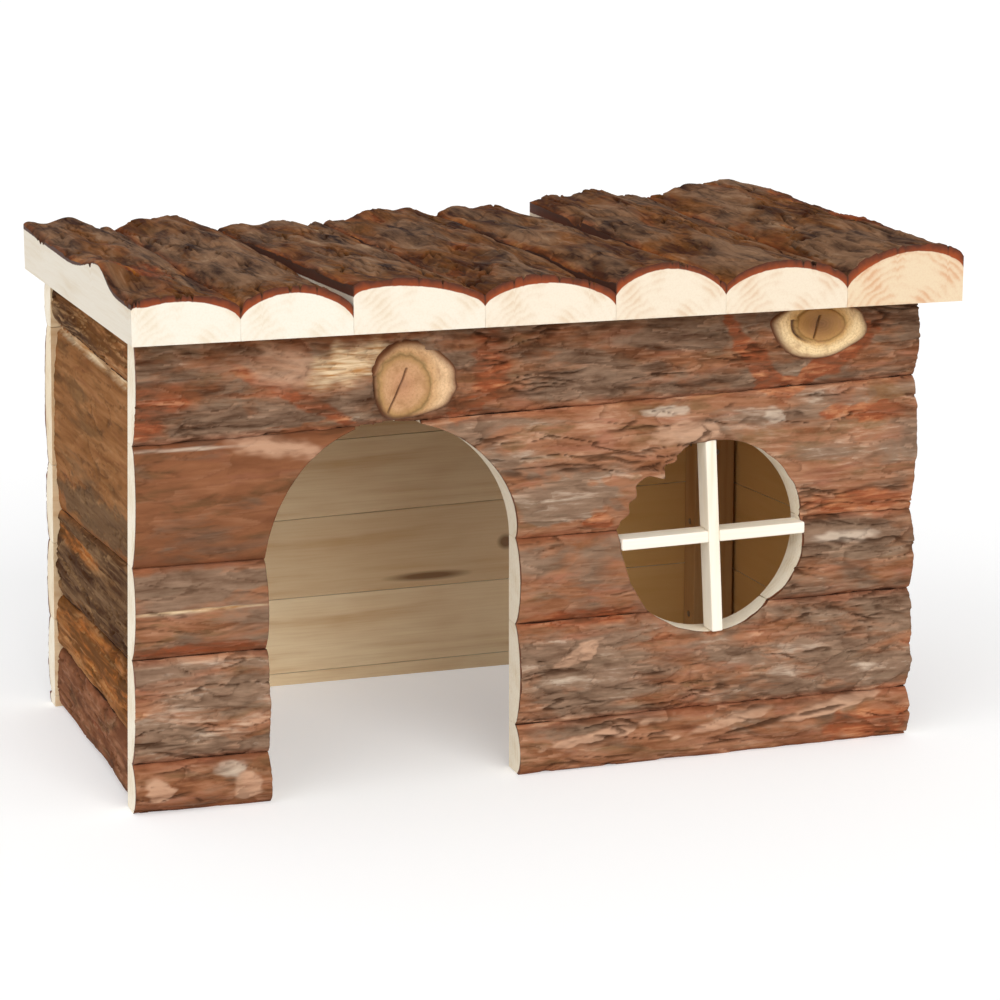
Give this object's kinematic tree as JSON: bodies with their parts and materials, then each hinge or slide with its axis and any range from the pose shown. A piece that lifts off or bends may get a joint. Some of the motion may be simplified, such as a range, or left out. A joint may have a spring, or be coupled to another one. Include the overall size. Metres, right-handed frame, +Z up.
{
  "type": "hamster house",
  "caption": "Bark-slab house for a hamster, with an arched open-bottomed door, a round window with crossed bars and a flat overhanging roof that lifts off.",
  "frame": {"origin": "on the ground under the middle of the roof", "axes": "+X along the front from left to right, +Y from front to back, +Z up"},
  "size_m": [0.28, 0.175, 0.1757],
  "materials": {
    "front_slab": "reddish brown bark outside, sawn pale wood inside and at the cuts",
    "side_slab": "partly peeled brown bark outside, sawn wood inside",
    "rear_slab": "brown bark outside, sawn beige wood inside",
    "roof_slab": "rough reddish brown bark on top, sawn pale wood below and at the ends",
    "post": "planed pale softwood lath",
    "batten": "planed pale softwood lath",
    "window_bar": "planed pale softwood",
    "brad": "bright steel wire"
  },
  "bodies": {
    "house": {"front_brads": "brad", "front_slab_1": "front_slab", "front_slab_2_left": "front_slab", "front_slab_2_right": "front_slab", "front_slab_3_left": "front_slab", "front_slab_3_middle": "front_slab", "front_slab_3_right": "front_slab", "front_slab_4_left": "front_slab", "front_slab_4_right": "front_slab", "front_slab_5_left": "front_slab", "front_slab_5_right": "front_slab", "left_brads": "brad", "left_slab_1": "side_slab", "left_slab_2": "side_slab", "left_slab_3": "side_slab", "left_slab_4": "side_slab", "left_slab_5": "side_slab", "post_front_left": "post", "post_front_right": "post", "post_rear_left": "post", "post_rear_right": "post", "rear_brads": "brad", "rear_slab_1": "rear_slab", "rear_slab_2": "rear_slab", "rear_slab_3": "rear_slab", "rear_slab_4": "rear_slab", "rear_slab_5": "rear_slab", "rear_slab_6": "rear_slab", "right_brads": "brad", "right_slab_1": "side_slab", "right_slab_2": "side_slab", "right_slab_3": "side_slab", "right_slab_4": "side_slab", "right_slab_5": "side_slab", "window_crossbar": "window_bar", "window_upright": "window_bar"},
    "roof": {"roof_batten_front": "batten", "roof_batten_rear": "batten", "roof_brads": "brad", "roof_slab_1": "roof_slab", "roof_slab_2": "roof_slab", "roof_slab_3": "roof_slab", "roof_slab_4": "roof_slab", "roof_slab_5": "roof_slab", "roof_slab_6": "roof_slab", "roof_slab_7": "roof_slab"}
  },
  "joints": [
    {"name": "roof_lift", "type": "slide", "parent": "house", "child": "roof", "axis": [0, 0, 1], "range_m": [0, 0.2]}
  ]
}
